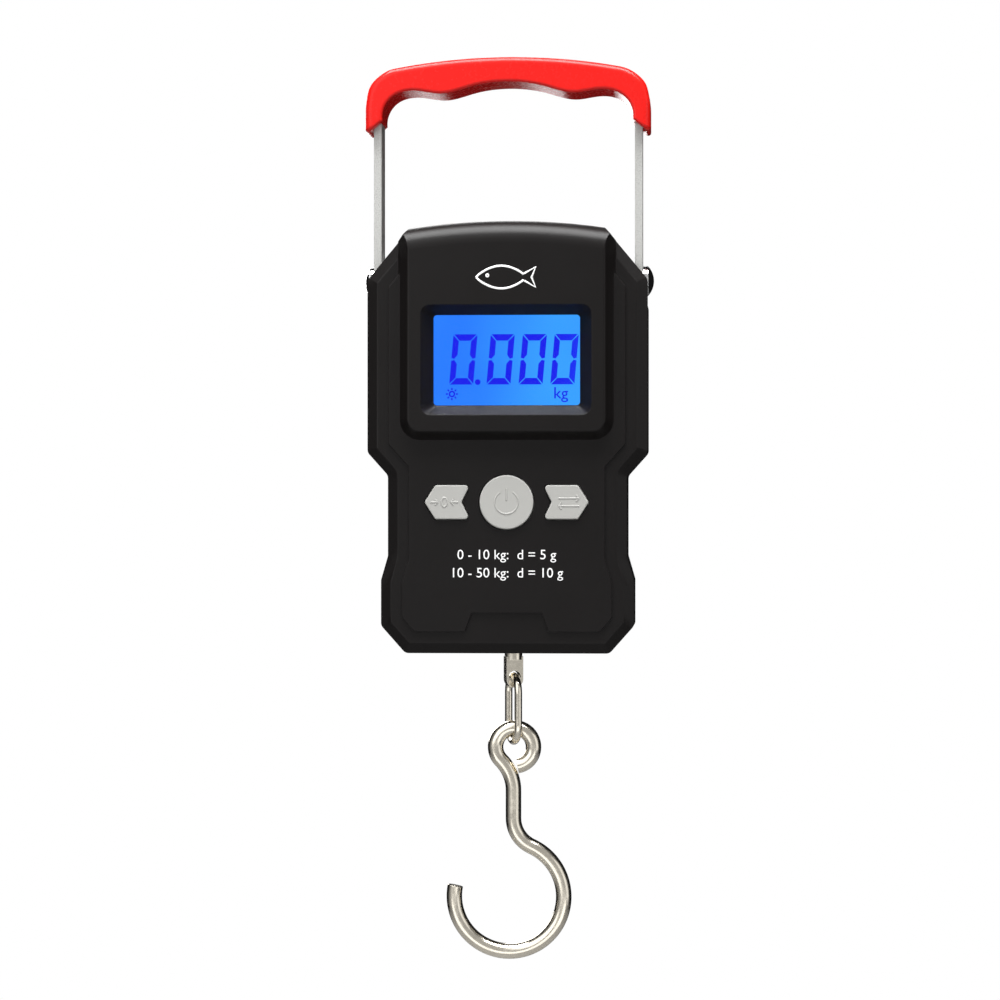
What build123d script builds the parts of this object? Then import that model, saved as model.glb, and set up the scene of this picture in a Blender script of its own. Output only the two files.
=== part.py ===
from build123d import *
import math
import os

# Hanging digital scale. Millimetres, +Z up, the front faces -Y, +X to the right.
# The origin is on the underside of the grip, at its middle.

# ---- housing, seen from the front ----
BODY_TOP = -40.0
BODY_HEIGHT = 123.9
BODY_WIDTH = 80.4
WAIST_WIDTH = BODY_WIDTH - 11.8
LOWER_WIDTH = BODY_WIDTH - 7.8
CROWN_WIDTH = BODY_WIDTH - 24.4
CROWN_RISE = 2.1
SIDE_DROP = 66.3
WAIST_SLOPE = 6.6
WAIST_DROP = 96.0
LOWER_SLOPE = 6.9
FOOT_CHAMFER = 7.4
CORNER_ROUND = 2.2

# ---- housing, front to back ----
HOOD_FACE = -15.0
PLATEAU_FACE = -11.3
LEDGE_FACE = -10.5
RIM_FACE = -8.5
INNER_FRONT = -9.0
PARTING = -5.6
REAR_CHAMFER = 1.5
WALL = 2.0
SIDE_WALL = 2.6
BEVEL_INSET = 3.0
PLATEAU_INSET = 6.2
PLATEAU_CORNER = 1.2
PLATEAU_EDGE = 0.3
LEDGE_EDGE = 0.5
SCALLOP_FOOT = 24.6
SCALLOP_TOP = 20.0
SCALLOP_HEIGHT = 5.4
LIP_LENGTH = 1.0
LIP_WALL = 1.2
LIP_GAP = 0.15

# ---- hood and display ----
HOOD_WIDTH = 62.4
HOOD_DROP = 63.4
HOOD_TAPER = 34.0
HOOD_CORNER = 6.5
HOOD_ROLL = 6.5
HOOD_EDGE = 0.9
DISPLAY_DROP = 40.0
RECESS_WIDTH = 48.9
RECESS_HEIGHT = 31.5
RECESS_CORNER = 2.8
VIEW_WIDTH = 41.9
VIEW_HEIGHT = 25.8
VIEW_CORNER = 1.0
WINDOW_FRONT = -10.8
WINDOW_THICK = 1.2
WINDOW_MARGIN = 3.0
GASKET_THICK = 0.4
LCD_THICK = 2.0
GUIDE_THICK = 1.4
LCD_LEDGE = 2.4
HOLDER_WALL = 1.2
LCD_MARGIN = 1.6
LCD_FIT = 0.1

# ---- buttons ----
BUTTON_DROP = 80.6
POWER_DIAMETER = 15.4
ARROW_INNER = 10.5
ARROW_OUTER = 23.5
ARROW_HEIGHT = 9.7
ARROW_TIP = 3.1
ARROW_NOTCH = 2.4
BUTTON_PROUD = 0.8
BUTTON_GAP = 0.3
BUTTON_FLANGE = 0.9
BUTTON_EDGE = 0.3
ARROW_CORNER = 0.9
BUTTON_TRAVEL = 0.5
FLANGE_THICK = 0.7
SWITCH_SIZE = 6.0
SWITCH_THICK = 1.8
SWITCH_FLOOR = 0.5
PLUNGER_DIAMETER = 3.2
PLUNGER_GAP = 0.2

# ---- circuit board ----
BOARD_THICK = 1.6
BOARD_WIDTH = 54.0
BOARD_TOP_DROP = 22.0
BOARD_BELOW_BUTTONS = 10.4
CHIP_SIZE = (7.0, 3.4, 1.1)
CRYSTAL_SIZE = (5.0, 2.0, 1.0)
CRYSTAL_X = 7.0
CAPACITOR_SIZE = (1.6, 0.8, 0.8)
CAPACITOR_X = -16.0
CAPACITOR_PITCH = 3.0

# ---- bail, pivots and grip ----
PIVOT_DROP = 16.8
PIN_DIAMETER = 5.0
PIN_FIT = 0.1
STRAP_THICK = 2.2
STRAP_DEPTH = 10.0
STRAP_TOP = 4.0
STRAP_BEND = 8.0
FLANGE_OVERHANG = 1.5
ARM_GAP = 0.7
WASHER_THICK = 1.4
WASHER_GAP = 0.1
DOME_DIAMETER = 8.6
DOME_HEIGHT = 1.7
TAIL_RADIUS = 3.5
TAIL_THICK = 1.2
GRIP_DEPTH = 17.0
GRIP_CROWN = 7.24
GRIP_WALL = 2.3
GRIP_LEG = 15.0
GRIP_ROUND = 2.0
GRIP_UNDER_ROUND = 0.8
GRIP_INNER_WALL = 0.5
GRIP_SHOULDER = [(9.0, 4.33), (5.5, 3.1), (3.2, 1.45), (1.3, -0.9), (0.35, -4.4), (0.0, -8.0)]
GRIP_ROOT = [(0.0, -11.0), (1.6, -5.4), (5.6, -2.8)]
GRIP_HOLLOWS = [(5.6, -2.8), (9.7, -2.4), (16.8, -3.3), (25.6, -1.3)]

# ---- load frame and load cell ----
SHEET = 2.0
WEB_FRONT = -3.5
EAR_GAP = 0.4
EAR_RADIUS = 4.4
WEB_TOP_DROP = 7.2
WEB_BAND = 11.0
TAB_WIDTH = 18.0
CELL_WIDTH = 18.0
CELL_DEPTH = 8.0
CELL_FRONT = -3.6
CELL_LENGTH = 44.0
CELL_LIFT = 12.4
NUT_WINDOW = 9.0
NUT_WINDOW_HALF = 5.5
GAUGE_HOLE_RADIUS = 3.6
GAUGE_HOLE_STEP = 3.2
GAUGE_SLOT_HALF = 1.5
CELL_FOOT = 5.0

# ---- batteries ----
BATTERY_DIAMETER = 10.3
BATTERY_LENGTH = 43.7
BATTERY_NUB = 0.8
BATTERY_SPACING = 1.1
BATTERY_DROP = 41.8
BATTERY_GAP = 0.5
CONTACT_THICK = 0.5
CONTACT_ROOM = 2.8
BAY_FLOOR = 0.0
BAY_WALL = 1.5
BAY_SHEET = 1.0
DOOR_CLEARANCE = 0.35
DOOR_THICK = 1.6
DOOR_LEDGE = 1.4
DOOR_GAP = 0.2
THUMB_DEPTH = 0.7
THUMB_RISE = 5.0
THUMB_RADIUS = 4.5
NUB_RADIUS = 1.9
CONTACT_HALF_DEPTH = 3.5
CONTACT_HALF_HEIGHT = 3.5

# ---- shank, link and hook ----
ROD_DIAMETER = 5.1
THREAD_DIAMETER = 4.0
ROD_FIT = 0.1
NUT_FLATS = 7.0
NUT_THICK = 3.2
BUSH_GAP = 0.3
BUSH_WALL = 1.3
SHANK_DROP = 10.2
EYELET_THICK = 3.0
EYELET_WIDTH = 5.0
EYELET_LENGTH = 8.0
EYELET_HOLE = 3.4
EYELET_RISE = 3.2
HANG_SHIFT = 1.3
YAW = 20.0
LINK_WIRE = 2.2
LINK_INNER_WIDTH = 7.5
LINK_LENGTH = 21.0
LINK_GAP = 0.45
HOOK_WIRE = 4.5
EYE_RADIUS = 5.5
EYE_OFFSET = 0.3
EYE_START = -80.0
EYE_LEAVE = 225.0
HOOK_RADIUS = 15.85
HOOK_DROP = 43.2
HOOK_STEM = 20.6
HOOK_OFFSET = -1.3
HOOK_TIP = 169.0

# ---- fasteners ----
CASE_SCREW = 2.4
CASE_SCREW_HEAD = 4.6
SCREW_SINK = 1.8
SCREW_HEAD_THICK = 1.6
BOSS_DIAMETER = 6.0
TOP_SCREW_X = 20.0
TOP_SCREW_DROP = 7.6
FOOT_SCREW_X = 26.0
FOOT_SCREW_RISE = 13.4
BOARD_SCREW = 2.0
BOARD_SCREW_HEAD = 3.4
BOARD_HEAD_THICK = 0.6
CELL_SCREW = 4.0
CELL_SCREW_HEAD = 6.0
CELL_HEAD_THICK = 2.2
CELL_SCREW_TOP_DROP = 3.6
CELL_SCREW_LOW_DROP = 10.0

# ---- places worked out from the sizes above ----
BATTERY_PITCH = BATTERY_DIAMETER + BATTERY_SPACING
BATTERY_BACK = BAY_FLOOR + BAY_SHEET + BATTERY_GAP / 2 + BATTERY_DIAMETER
REAR_FACE = BATTERY_BACK + DOOR_CLEARANCE + DOOR_THICK
BODY_BOTTOM = BODY_TOP - BODY_HEIGHT
PIVOT_Z = BODY_TOP - PIVOT_DROP
DISPLAY_Z = BODY_TOP - DISPLAY_DROP
BUTTON_Z = BODY_TOP - BUTTON_DROP
HALF_WIDTH = BODY_WIDTH / 2
ARM_OUTER = HALF_WIDTH - FLANGE_OVERHANG
ARM_INNER = ARM_OUTER - STRAP_THICK
NOTCH_X = ARM_INNER - ARM_GAP
NOTCH_Z = PIVOT_Z - STRAP_DEPTH / 2 - 2.5
REAR_INNER = REAR_FACE - WALL
EAR_OUTER = NOTCH_X - SIDE_WALL - EAR_GAP
EAR_INNER = EAR_OUTER - SHEET
WINDOW_BACK = WINDOW_FRONT + WINDOW_THICK
LCD_FRONT = WINDOW_BACK + GASKET_THICK
LCD_BACK = LCD_FRONT + LCD_THICK
BOARD_FRONT = LCD_BACK + GUIDE_THICK
BOARD_BACK = BOARD_FRONT + BOARD_THICK
BOARD_TOP = BODY_TOP - BOARD_TOP_DROP
BOARD_BOTTOM = BUTTON_Z - BOARD_BELOW_BUTTONS
BATTERY_Z = BODY_TOP - BATTERY_DROP
POCKET_HALF_X = BATTERY_LENGTH / 2 + BATTERY_NUB / 2 + CONTACT_ROOM
POCKET_HALF_Z = BATTERY_PITCH / 2 + BATTERY_DIAMETER / 2 + BATTERY_GAP
BATTERY_Y = BATTERY_BACK - BATTERY_DIAMETER / 2
DOOR_HALF_X = POCKET_HALF_X + DOOR_LEDGE
DOOR_HALF_Z = POCKET_HALF_Z + DOOR_LEDGE
CELL_BOTTOM = BODY_BOTTOM + CELL_LIFT
CELL_TOP = CELL_BOTTOM + CELL_LENGTH
CELL_BACK = CELL_FRONT + CELL_DEPTH
WINDOW_FLOOR_Z = CELL_BOTTOM + CELL_FOOT
EYELET_BOTTOM = BODY_BOTTOM - SHANK_DROP
EYELET_Z = EYELET_BOTTOM + EYELET_RISE
LINK_BEND = (LINK_INNER_WIDTH + LINK_WIRE) / 2
LINK_TOP_Z = EYELET_Z + 0.1
LINK_BOTTOM_Z = LINK_TOP_Z - LINK_LENGTH + LINK_WIRE
EYE_Z = LINK_BOTTOM_Z + LINK_WIRE / 2 + LINK_GAP + HOOK_WIRE / 2 - EYE_RADIUS
HOOK_Z = EYE_Z - HOOK_DROP


# ---- helpers ----
def front_plane(y):
    return Plane(origin=(0, y, 0), x_dir=(1, 0, 0), z_dir=(0, -1, 0))


def slab(face, y_front, y_back):
    """Extrude a face drawn in X and Z between two depths."""
    return extrude(front_plane(y_back) * face, amount=y_back - y_front)


def polygon(points):
    return make_face(Polyline(*points, close=True))


def mirrored(points):
    """Close a right-hand half outline, listed from top to bottom, with its mirror image."""
    return points + [(-x, z) for x, z in reversed(points)]


def rod(x, y, z, axis, radius, length):
    """A cylinder that starts at a point and runs along an axis."""
    place = Plane(origin=(x, y, z), z_dir=axis)
    return extrude(place * Circle(radius), amount=length)


def block(x0, x1, y0, y1, z0, z1):
    centre = ((x0 + x1) / 2, (y0 + y1) / 2, (z0 + z1) / 2)
    return Pos(*centre) * Box(abs(x1 - x0), abs(y1 - y0), abs(z1 - z0))


def rounded(width, height, corner, x=0.0, z=0.0):
    return Pos(x, z) * RectangleRounded(width, height, corner)


def edges_at_depth(solid, y):
    return solid.edges().filter_by_position(Axis.Y, y - 0.01, y + 0.01)


def write(name, *solids):
    shape = solids[0] if len(solids) == 1 else Compound(children=list(solids))
    export_step(shape, "parts/" + name + ".step")


# ---- outlines ----
def body_points():
    return [
        (CROWN_WIDTH / 2, BODY_TOP - CROWN_RISE),
        (HALF_WIDTH, PIVOT_Z),
        (HALF_WIDTH, BODY_TOP - SIDE_DROP),
        (WAIST_WIDTH / 2, BODY_TOP - SIDE_DROP - WAIST_SLOPE),
        (WAIST_WIDTH / 2, BODY_TOP - WAIST_DROP),
        (LOWER_WIDTH / 2, BODY_TOP - WAIST_DROP - LOWER_SLOPE),
        (LOWER_WIDTH / 2, BODY_BOTTOM + FOOT_CHAMFER + 0.5),
        (LOWER_WIDTH / 2 - FOOT_CHAMFER + 0.4, BODY_BOTTOM),
    ]


def sharp_outline():
    """The housing's front outline with a crowned top and square corners."""
    right = body_points()
    left = [(-x, z) for x, z in right]
    crown = ThreePointArc(left[0], (0, BODY_TOP), right[0])
    sides = Polyline(*(right + list(reversed(left))))
    return make_face([crown.edge(), *sides.edges()])


def body_outline():
    face = sharp_outline()
    return fillet(face.vertices(), CORNER_ROUND)


def case_outline():
    """The outline of the rear case, set in beside the arms so that the bail can fold."""
    notches = Rectangle(BODY_WIDTH * 2, 2 * abs(BODY_TOP - NOTCH_Z)) - Rectangle(
        2 * NOTCH_X, 3 * abs(BODY_TOP - NOTCH_Z)
    )
    return body_outline() - Pos(0, BODY_TOP) * notches


def cavity_outline():
    return offset(case_outline(), amount=-SIDE_WALL, kind=Kind.INTERSECTION)


def arrow_face(grow=0.0):
    """The chevron of the right-hand side button, grown evenly by a clearance."""
    half = ARROW_HEIGHT / 2
    points = [
        (ARROW_INNER, BUTTON_Z + half),
        (ARROW_OUTER - ARROW_TIP, BUTTON_Z + half),
        (ARROW_OUTER, BUTTON_Z),
        (ARROW_OUTER - ARROW_TIP, BUTTON_Z - half),
        (ARROW_INNER, BUTTON_Z - half),
        (ARROW_INNER + ARROW_NOTCH, BUTTON_Z),
    ]
    face = fillet(polygon(points).vertices(), ARROW_CORNER)
    return offset(face, amount=grow) if grow else face


def button_face(name, grow=0.0):
    if name == "power":
        return Pos(0, BUTTON_Z) * Circle(POWER_DIAMETER / 2 + grow)
    if name == "unit":
        return arrow_face(grow)
    return mirror(arrow_face(grow), about=Plane.YZ)


def button_x(name):
    middle = (ARROW_INNER + ARROW_OUTER) / 2
    return {"power": 0.0, "unit": middle, "tare": -middle}[name]


BUTTONS = ["power", "tare", "unit"]


def case_screw_places():
    top = BODY_TOP - TOP_SCREW_DROP
    foot = BODY_BOTTOM + FOOT_SCREW_RISE
    places = []
    for side in (-1, 1):
        places.append((side * TOP_SCREW_X, top))
        places.append((side * FOOT_SCREW_X, foot))
    return places


def board_screw_places():
    side = BOARD_WIDTH / 2 - 3.0
    return [(-side, BOARD_BOTTOM + 3.0), (side, BOARD_BOTTOM + 3.0)]


# ---- front shell ----
def hood_solid():
    """The raised panel round the display, rolled over at the top edge."""
    full = slab(sharp_outline(), HOOD_FACE, PARTING)
    full = fillet(edges_at_depth(full, HOOD_FACE).sort_by(Axis.Z)[-1], HOOD_ROLL)
    hood_bottom = BODY_TOP - HOOD_DROP
    height = 2 * HOOD_DROP
    base = rounded(HOOD_WIDTH, height, HOOD_CORNER, 0.0, hood_bottom + height / 2)
    panel = extrude(front_plane(LEDGE_FACE) * base, amount=LEDGE_FACE - HOOD_FACE, taper=HOOD_TAPER)
    panel = fillet(edges_at_depth(panel, HOOD_FACE), HOOD_EDGE)
    return full & (panel + slab(base, LEDGE_FACE, RIM_FACE))


def front_block():
    rim = slab(body_outline(), RIM_FACE, PARTING)
    taper = math.degrees(math.atan(BEVEL_INSET / (RIM_FACE - LEDGE_FACE)))
    bevel = extrude(front_plane(RIM_FACE) * body_outline(), amount=RIM_FACE - LEDGE_FACE, taper=taper)
    bevel = fillet(edges_at_depth(bevel, LEDGE_FACE), LEDGE_EDGE)
    plateau_face = offset(sharp_outline(), amount=-PLATEAU_INSET, kind=Kind.INTERSECTION)
    plateau_face = fillet(plateau_face.vertices(), PLATEAU_CORNER)
    half_foot = SCALLOP_FOOT / 2
    half_top = SCALLOP_TOP / 2
    scallop = polygon([
        (-half_foot, -1), (half_foot, -1), (half_top, SCALLOP_HEIGHT), (-half_top, SCALLOP_HEIGHT),
    ])
    plateau_face -= Pos(0, BODY_BOTTOM + PLATEAU_INSET) * scallop
    plateau = slab(plateau_face, PLATEAU_FACE, RIM_FACE)
    plateau = fillet(edges_at_depth(plateau, PLATEAU_FACE), PLATEAU_EDGE)
    return rim + bevel + plateau + hood_solid()


def display_funnel():
    mouth = rounded(RECESS_WIDTH, RECESS_HEIGHT, RECESS_CORNER, 0, DISPLAY_Z)
    view = rounded(VIEW_WIDTH, VIEW_HEIGHT, VIEW_CORNER, 0, DISPLAY_Z)
    outer = front_plane(HOOD_FACE - 0.01) * mouth
    inner = front_plane(WINDOW_FRONT) * view
    return loft([outer.face(), inner.face()])


def front_shell():
    shell = front_block()
    cavity = slab(cavity_outline(), INNER_FRONT, PARTING + 1)
    hood_cut = WALL + (LEDGE_FACE - HOOD_FACE) * math.tan(math.radians(HOOD_TAPER))
    hood_low = BODY_TOP - HOOD_DROP + hood_cut
    hood_top = BODY_TOP - HOOD_ROLL - WALL
    hood_room = block(
        -HOOD_WIDTH / 2 + hood_cut, HOOD_WIDTH / 2 - hood_cut, HOOD_FACE + WALL, PARTING, hood_low, hood_top
    )
    collar_x = VIEW_WIDTH / 2 + WINDOW_MARGIN + 1.6
    collar_z = VIEW_HEIGHT / 2 + WINDOW_MARGIN + 1.6
    collar = block(
        -collar_x, collar_x, HOOD_FACE + WALL, WINDOW_FRONT, DISPLAY_Z - collar_z, DISPLAY_Z + collar_z
    )
    shell = shell - cavity - hood_room
    shell = shell + collar - display_funnel()
    for name in BUTTONS:
        shell -= slab(button_face(name, BUTTON_GAP), PLATEAU_FACE - 1, INNER_FRONT + 1)
    for x, z in case_screw_places():
        boss = rod(x, PARTING, z, (0, -1, 0), BOSS_DIAMETER / 2, PARTING - INNER_FRONT + 0.5)
        hole = rod(x, PARTING + 1, z, (0, -1, 0), CASE_SCREW / 2, PARTING - INNER_FRONT + 0.5)
        shell = shell + boss - hole
    for x, z in board_screw_places():
        boss = rod(x, BOARD_FRONT, z, (0, -1, 0), BOSS_DIAMETER / 2 - 0.6, BOARD_FRONT - INNER_FRONT + 0.5)
        hole = rod(x, BOARD_FRONT + 1, z, (0, -1, 0), BOARD_SCREW / 2, BOARD_FRONT - INNER_FRONT + 0.8)
        shell = shell + boss - hole
    return shell


# ---- rear shell and battery door ----
def rear_shell():
    outline = case_outline()
    body = slab(outline, PARTING, REAR_FACE)
    rear_edges = body.faces().sort_by(Axis.Y)[-1].edges()
    body = chamfer(rear_edges, REAR_CHAMFER)
    cavity = cavity_outline()
    body -= slab(cavity, PARTING - 1, REAR_INNER)
    lip_outer = offset(cavity, amount=-LIP_GAP, kind=Kind.INTERSECTION)
    lip_inner = offset(cavity, amount=-LIP_GAP - LIP_WALL, kind=Kind.INTERSECTION)
    lip = slab(lip_outer - lip_inner, PARTING - LIP_LENGTH, WEB_FRONT - LIP_GAP)
    for x, z in case_screw_places():
        lip -= rod(x, PARTING, z, (0, -1, 0), BOSS_DIAMETER / 2 + BUTTON_GAP, LIP_LENGTH + 1)
    seat = slab(cavity - lip_inner, PARTING, WEB_FRONT - LIP_GAP)
    body = body + lip + seat
    bay = block(
        -DOOR_HALF_X - BAY_WALL, DOOR_HALF_X + BAY_WALL, BAY_FLOOR, REAR_INNER,
        BATTERY_Z - DOOR_HALF_Z - BAY_WALL, BATTERY_Z + DOOR_HALF_Z + BAY_WALL,
    )
    body += bay
    pocket = block(
        -POCKET_HALF_X, POCKET_HALF_X, BAY_FLOOR + BAY_SHEET, REAR_FACE + 1,
        BATTERY_Z - POCKET_HALF_Z, BATTERY_Z + POCKET_HALF_Z,
    )
    doorway = block(
        -DOOR_HALF_X, DOOR_HALF_X, REAR_FACE - DOOR_THICK, REAR_FACE + 1,
        BATTERY_Z - DOOR_HALF_Z, BATTERY_Z + DOOR_HALF_Z,
    )
    body = body - pocket - doorway
    for x, z in case_screw_places():
        boss = rod(x, PARTING, z, (0, 1, 0), BOSS_DIAMETER / 2, REAR_INNER - PARTING + 0.5)
        hole = rod(x, PARTING - 2, z, (0, 1, 0), CASE_SCREW / 2 + 0.2, REAR_FACE - PARTING + 4)
        sink = rod(x, REAR_FACE - SCREW_SINK, z, (0, 1, 0), CASE_SCREW_HEAD / 2 + 0.2, 4)
        body = body + boss - hole - sink
    for side in (-1, 1):
        body -= rod(side * (NOTCH_X + 1), 0, PIVOT_Z, (-side, 0, 0), PIN_DIAMETER / 2 + 0.4, SIDE_WALL + 2)
    bush_room = rod(HANG_SHIFT, 0, BODY_BOTTOM - 1, (0, 0, 1), bush_radius(), SIDE_WALL + 2)
    flange_room = rod(HANG_SHIFT, 0, BODY_BOTTOM + SIDE_WALL, (0, 0, 1), bush_radius() + 1.5, 6)
    return body - bush_room - flange_room


def battery_door():
    x = DOOR_HALF_X - DOOR_GAP
    z = DOOR_HALF_Z - DOOR_GAP
    door = block(-x, x, REAR_FACE - DOOR_THICK + 0.05, REAR_FACE, BATTERY_Z - z, BATTERY_Z + z)
    thumb = rod(0, REAR_FACE - THUMB_DEPTH, BATTERY_Z - z + THUMB_RISE, (0, 1, 0), THUMB_RADIUS, 2)
    return door - thumb


# ---- display stack ----
def display_window():
    return slab(
        rounded(VIEW_WIDTH + 2 * WINDOW_MARGIN, VIEW_HEIGHT + 2 * WINDOW_MARGIN, 1.5, 0, DISPLAY_Z),
        WINDOW_FRONT, WINDOW_BACK,
    )


def window_gasket():
    outer = rounded(VIEW_WIDTH + 2 * WINDOW_MARGIN, VIEW_HEIGHT + 2 * WINDOW_MARGIN, 1.5, 0, DISPLAY_Z)
    inner = rounded(VIEW_WIDTH + 1, VIEW_HEIGHT + 1, VIEW_CORNER, 0, DISPLAY_Z)
    return slab(outer - inner, WINDOW_BACK, LCD_FRONT)


def lcd_box(margin, y_front, y_back, low_trim=0.0, right_trim=0.0):
    """A plate behind the view, grown by a margin and trimmed at its foot or right-hand end."""
    x = VIEW_WIDTH / 2 + margin
    z = VIEW_HEIGHT / 2 + margin
    return block(-x, x - right_trim, y_front, y_back, DISPLAY_Z - z - LCD_LEDGE + low_trim, DISPLAY_Z + z)


def lcd_cell():
    return lcd_box(LCD_MARGIN, LCD_FRONT, LCD_BACK)


def backlight_guide():
    return lcd_box(LCD_MARGIN - 0.5, LCD_BACK, BOARD_FRONT, LCD_LEDGE, 2.5)


def backlight_led():
    x = VIEW_WIDTH / 2 + LCD_MARGIN - 2.6
    return block(x, x + 1.6, LCD_BACK + 0.2, BOARD_FRONT, DISPLAY_Z - 1.5, DISPLAY_Z + 1.5)


def lcd_connector():
    z = DISPLAY_Z - VIEW_HEIGHT / 2 - LCD_MARGIN - LCD_LEDGE + 0.4
    return block(-VIEW_WIDTH / 2, VIEW_WIDTH / 2, LCD_BACK, BOARD_FRONT, z, z + LCD_LEDGE - 0.4)


def lcd_holder():
    ring = lcd_box(LCD_MARGIN + LCD_FIT + HOLDER_WALL, LCD_FRONT, BOARD_FRONT)
    return ring - lcd_box(LCD_MARGIN + LCD_FIT, LCD_FRONT - 1, BOARD_FRONT + 1)


# ---- circuit board ----
def circuit_board():
    board = block(-BOARD_WIDTH / 2, BOARD_WIDTH / 2, BOARD_FRONT, BOARD_BACK, BOARD_BOTTOM, BOARD_TOP)
    for x, z in board_screw_places():
        board -= rod(x, BOARD_FRONT - 1, z, (0, 1, 0), BOARD_SCREW / 2 + 0.2, BOARD_THICK + 2)
    return board


def board_screws():
    solids = []
    for x, z in board_screw_places():
        shank = rod(x, BOARD_BACK, z, (0, -1, 0), BOARD_SCREW / 2 - 0.02, BOARD_THICK + 3.0)
        head = rod(x, BOARD_BACK, z, (0, 1, 0), BOARD_SCREW_HEAD / 2, BOARD_HEAD_THICK)
        solids.append(shank + head)
    return solids


def chip_z():
    return (BUTTON_Z + POWER_DIAMETER / 2 + 2.0 + DISPLAY_Z - VIEW_HEIGHT / 2 - LCD_MARGIN - LCD_LEDGE) / 2


def board_block(x, size):
    """A component on the board's front, in the row between the display and the keys."""
    width, height, thick = size
    z = chip_z()
    return block(x, x + width, BOARD_FRONT - thick, BOARD_FRONT, z - height / 2, z + height / 2)


def controller_chip():
    return board_block(-CHIP_SIZE[0] / 2, CHIP_SIZE)


def clock_crystal():
    return board_block(CRYSTAL_X, CRYSTAL_SIZE)


def chip_capacitors():
    return [board_block(CAPACITOR_X + CAPACITOR_PITCH * index, CAPACITOR_SIZE) for index in range(4)]


def tact_switches():
    solids = []
    for name in BUTTONS:
        x = button_x(name)
        half = SWITCH_SIZE / 2
        face = BOARD_FRONT - SWITCH_THICK
        radius = PLUNGER_DIAMETER / 2 + PLUNGER_GAP
        body = block(x - half, x + half, face, BOARD_FRONT, BUTTON_Z - half, BUTTON_Z + half)
        bore = rod(x, face - 1, BUTTON_Z, (0, 1, 0), radius, SWITCH_THICK + 1 - SWITCH_FLOOR)
        solids.append(body - bore)
    return solids


# ---- buttons ----
def flange_back():
    return INNER_FRONT + 0.1 + FLANGE_THICK


def button(name):
    cap = slab(button_face(name), PLATEAU_FACE - BUTTON_PROUD, flange_back())
    flange = slab(button_face(name, BUTTON_GAP + BUTTON_FLANGE), INNER_FRONT + 0.1, flange_back())
    return fillet(edges_at_depth(cap, PLATEAU_FACE - BUTTON_PROUD), BUTTON_EDGE) + flange


def plunger(name):
    length = BOARD_FRONT - 0.1 - BUTTON_TRAVEL - 0.6 - flange_back()
    return rod(button_x(name), flange_back(), BUTTON_Z, (0, 1, 0), PLUNGER_DIAMETER / 2, length)


# ---- handle ----
def strap_arch(half_width, top, bend, low):
    height = top - low
    arch = Pos(0, low + height / 2) * Rectangle(2 * half_width, height)
    return fillet(arch.vertices().group_by(Axis.Y)[-1], bend)


def handle_bail():
    outer = strap_arch(ARM_OUTER, STRAP_TOP, STRAP_BEND, PIVOT_Z)
    inner = strap_arch(ARM_INNER, STRAP_TOP - STRAP_THICK, STRAP_BEND - STRAP_THICK, PIVOT_Z - 5)
    bail = slab(outer - inner, -STRAP_DEPTH / 2, STRAP_DEPTH / 2)
    for side in (-1, 1):
        hole_start = side * (ARM_INNER - 1)
        bail += rod(side * ARM_INNER, 0, PIVOT_Z, (side, 0, 0), STRAP_DEPTH / 2, STRAP_THICK)
        bail -= rod(hole_start, 0, PIVOT_Z, (side, 0, 0), PIN_DIAMETER / 2 + PIN_FIT, STRAP_THICK + 2)
    return bail


def mirror_points(points):
    """The same points on the other side, in the opposite order."""
    return [(-x, z) for x, z in reversed(points)]


def grip_face():
    """The grip seen from the front: crowned above, with four finger hollows below."""
    outer = ARM_OUTER + GRIP_WALL
    inner = ARM_INNER - GRIP_INNER_WALL
    shoulder = [(outer - inset, z) for inset, z in GRIP_SHOULDER]
    root = [(inner - inset, z) for inset, z in GRIP_ROOT]
    hollows = [(inner - inset, z) for inset, z in GRIP_HOLLOWS]
    top = ThreePointArc((-shoulder[0][0], shoulder[0][1]), (0, GRIP_CROWN), shoulder[0])
    top_heading = top % 1
    right = Spline(*shoulder, tangents=[(top_heading.X, top_heading.Y), (0, -1)])
    left = Spline(*mirror_points(shoulder), tangents=[(0, 1), (top_heading.X, -top_heading.Y)])
    right_leg = Polyline(shoulder[-1], (outer, -GRIP_LEG), root[0])
    left_leg = Polyline((-root[0][0], root[0][1]), (-outer, -GRIP_LEG), (-outer, shoulder[-1][1]))
    right_root = ThreePointArc(*root)
    left_root = ThreePointArc(*mirror_points(root))
    under = Spline(*hollows, (0, 0), *mirror_points(hollows))
    curves = [top, right, right_leg, right_root, under, left_root, left_leg, left]
    return make_face([edge for curve in curves for edge in curve.edges()])


def outside_rim(edge):
    middle = edge.center()
    return middle.Z > 0.3 or abs(middle.X) > ARM_OUTER


def grip_rim(body):
    """The edges round the grip's front and rear faces."""
    ends = body.faces().filter_by(Axis.Y).sort_by(Axis.Y)
    return ends[0].edges() + ends[-1].edges()


def grip():
    body = slab(grip_face(), -GRIP_DEPTH / 2, GRIP_DEPTH / 2)
    body = fillet([edge for edge in grip_rim(body) if outside_rim(edge)], GRIP_ROUND)
    body = fillet([edge for edge in grip_rim(body) if not outside_rim(edge)], GRIP_UNDER_ROUND)
    return body - handle_bail()


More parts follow.
